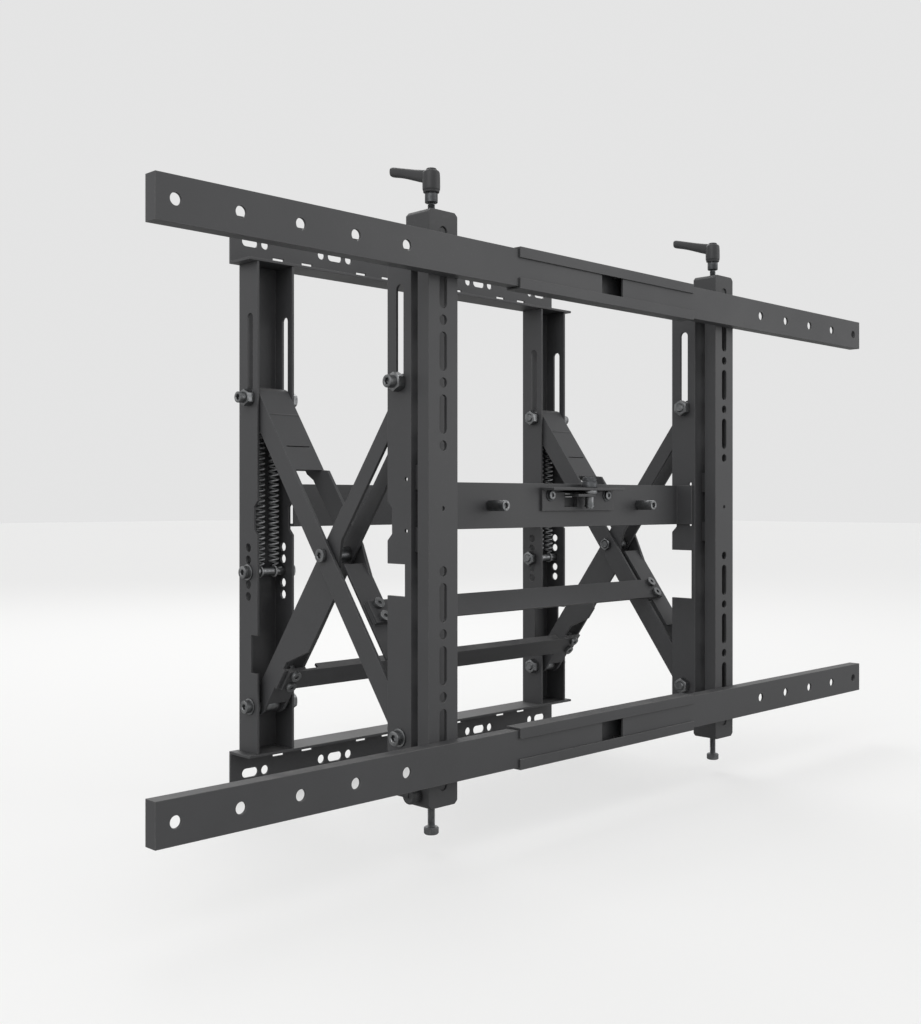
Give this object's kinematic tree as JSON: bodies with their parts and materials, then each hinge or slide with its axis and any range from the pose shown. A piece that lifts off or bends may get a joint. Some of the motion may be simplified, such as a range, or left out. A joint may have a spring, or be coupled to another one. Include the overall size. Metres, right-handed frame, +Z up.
{
  "type": "push-pull video wall mount",
  "caption": "Wall mount whose scissor arms let a display be drawn out from a video wall and pushed back flat, with sliding rails and adjusting screws.",
  "frame": {"origin": "centre of the wall screw pattern, in the plane of the wall", "axes": "+Z up, +X along the wall to the right as seen from the room, +Y into the wall"},
  "size_m": [0.93, 0.2744, 0.5543],
  "materials": {
    "powder_coat": "matte charcoal powder coat",
    "zinc_steel": "dull dark zinc plating",
    "spring_steel": "drawn wire, oiled",
    "black_plastic": "fine-grained black moulding"
  },
  "bodies": {
    "wall_frame": {"wall_rail_top": "powder_coat", "wall_rail_bottom": "powder_coat", "wall_upright_left": "powder_coat", "wall_upright_right": "powder_coat", "wall_crossbar": "powder_coat", "rear_pivot_bolts": "zinc_steel", "rear_pivot_nuts": "zinc_steel", "rear_pivot_sleeves": "zinc_steel", "spring_anchor_bolts": "spring_steel", "spring_anchor_nuts": "spring_steel", "springs_left": "spring_steel", "springs_right": "spring_steel"},
    "inner_scissor": {"inner_arm_left": "powder_coat", "inner_arm_right": "powder_coat", "inner_arm_strip": "powder_coat", "inner_arm_strip_screws": "zinc_steel", "front_slide_bolts": "zinc_steel", "front_slide_nuts": "zinc_steel", "front_slide_sleeves": "zinc_steel", "crossing_bolts": "zinc_steel", "crossing_nuts": "zinc_steel"},
    "outer_scissor": {"outer_arm_left": "powder_coat", "outer_arm_right": "powder_coat", "outer_arm_strip": "powder_coat", "outer_arm_strip_screws": "zinc_steel", "rear_slide_bolts": "zinc_steel", "rear_slide_nuts": "zinc_steel", "rear_slide_sleeves": "zinc_steel"},
    "front_frame": {"front_upright_left": "powder_coat", "front_upright_right": "powder_coat", "front_crossbar": "powder_coat", "crossbar_studs": "zinc_steel", "latch_bracket": "powder_coat", "latch_fasteners": "zinc_steel", "front_pivot_bolts": "zinc_steel", "front_pivot_nuts": "zinc_steel", "front_pivot_sleeves": "zinc_steel", "glide_pads": "black_plastic"},
    "latch_hook": {"latch_hook": "powder_coat"},
    "screen_carriage": {"screen_arm_left": "powder_coat", "screen_arm_right": "powder_coat", "head_blocks": "powder_coat", "foot_blocks": "powder_coat", "rail_sleeve_top": "powder_coat", "rail_sleeve_bottom": "powder_coat", "rail_clamps": "zinc_steel", "rail_clamp_screws": "zinc_steel"},
    "top_left_rail": {"rail_top_left": "powder_coat"},
    "top_right_rail": {"rail_top_right": "powder_coat"},
    "bottom_left_rail": {"rail_bottom_left": "powder_coat"},
    "bottom_right_rail": {"rail_bottom_right": "powder_coat"},
    "left_clamp_lever": {"clamp_lever_left": "black_plastic", "lever_stud_left": "zinc_steel"},
    "right_clamp_lever": {"clamp_lever_right": "black_plastic", "lever_stud_right": "zinc_steel"},
    "left_thumb_screw": {"thumb_screw_left": "zinc_steel"},
    "right_thumb_screw": {"thumb_screw_right": "zinc_steel"},
    "left_side_knob": {"side_knob_left": "black_plastic"},
    "right_side_knob": {"side_knob_right": "black_plastic"}
  },
  "joints": [
    {"name": "fold", "type": "hinge", "parent": "wall_frame", "child": "inner_scissor", "pos_m": [0, -0.02, -0.184], "axis": [-1, 0, 0], "range_deg": [0, 30], "deforming": ["springs_left", "springs_right"]},
    {"name": "crossing", "type": "hinge", "parent": "inner_scissor", "child": "outer_scissor", "pos_m": [0, -0.12375, -0.04121], "axis": [-1, 0, 0], "range_deg": [-60, 0]},
    {"name": "front_pivot", "type": "hinge", "parent": "outer_scissor", "child": "front_frame", "pos_m": [0, -0.2275, -0.184], "axis": [-1, 0, 0], "range_deg": [0, 30]},
    {"name": "latch_swing", "type": "hinge", "parent": "front_frame", "child": "latch_hook", "pos_m": [0.0185, -0.2305, 0.01125], "axis": [0, 0, 1], "range_deg": [0, 8]},
    {"name": "height", "type": "slide", "parent": "front_frame", "child": "screen_carriage", "axis": [0, 0, 1], "range_m": [0, 0.008]},
    {"name": "top_left_reach", "type": "slide", "parent": "screen_carriage", "child": "top_left_rail", "axis": [-1, 0, 0], "range_m": [-0.01, 0.08]},
    {"name": "top_right_reach", "type": "slide", "parent": "screen_carriage", "child": "top_right_rail", "axis": [1, 0, 0], "range_m": [-0.01, 0.08]},
    {"name": "bottom_left_reach", "type": "slide", "parent": "screen_carriage", "child": "bottom_left_rail", "axis": [-1, 0, 0], "range_m": [-0.01, 0.08]},
    {"name": "bottom_right_reach", "type": "slide", "parent": "screen_carriage", "child": "bottom_right_rail", "axis": [1, 0, 0], "range_m": [-0.01, 0.08]},
    {"name": "left_lever_turn", "type": "hinge", "parent": "screen_carriage", "child": "left_clamp_lever", "pos_m": [-0.2, -0.246, 0.26], "axis": [0, 0, 1], "range_deg": [-90, 90]},
    {"name": "left_thumb_turn", "type": "hinge", "parent": "screen_carriage", "child": "left_thumb_screw", "pos_m": [-0.2, -0.246, -0.24], "axis": [0, 0, 1], "continuous": true},
    {"name": "left_knob_turn", "type": "hinge", "parent": "screen_carriage", "child": "left_side_knob", "pos_m": [-0.22, -0.246, -0.2265], "axis": [1, 0, 0], "continuous": true},
    {"name": "right_lever_turn", "type": "hinge", "parent": "screen_carriage", "child": "right_clamp_lever", "pos_m": [0.2, -0.246, 0.26], "axis": [0, 0, 1], "range_deg": [-90, 90]},
    {"name": "right_thumb_turn", "type": "hinge", "parent": "screen_carriage", "child": "right_thumb_screw", "pos_m": [0.2, -0.246, -0.24], "axis": [0, 0, 1], "continuous": true},
    {"name": "right_knob_turn", "type": "hinge", "parent": "screen_carriage", "child": "right_side_knob", "pos_m": [0.22, -0.246, -0.2265], "axis": [1, 0, 0], "continuous": true}
  ],
  "couplings": [
    {"joint": "crossing", "follows": "fold", "ratio": -2},
    {"joint": "front_pivot", "follows": "fold", "ratio": 1}
  ]
}
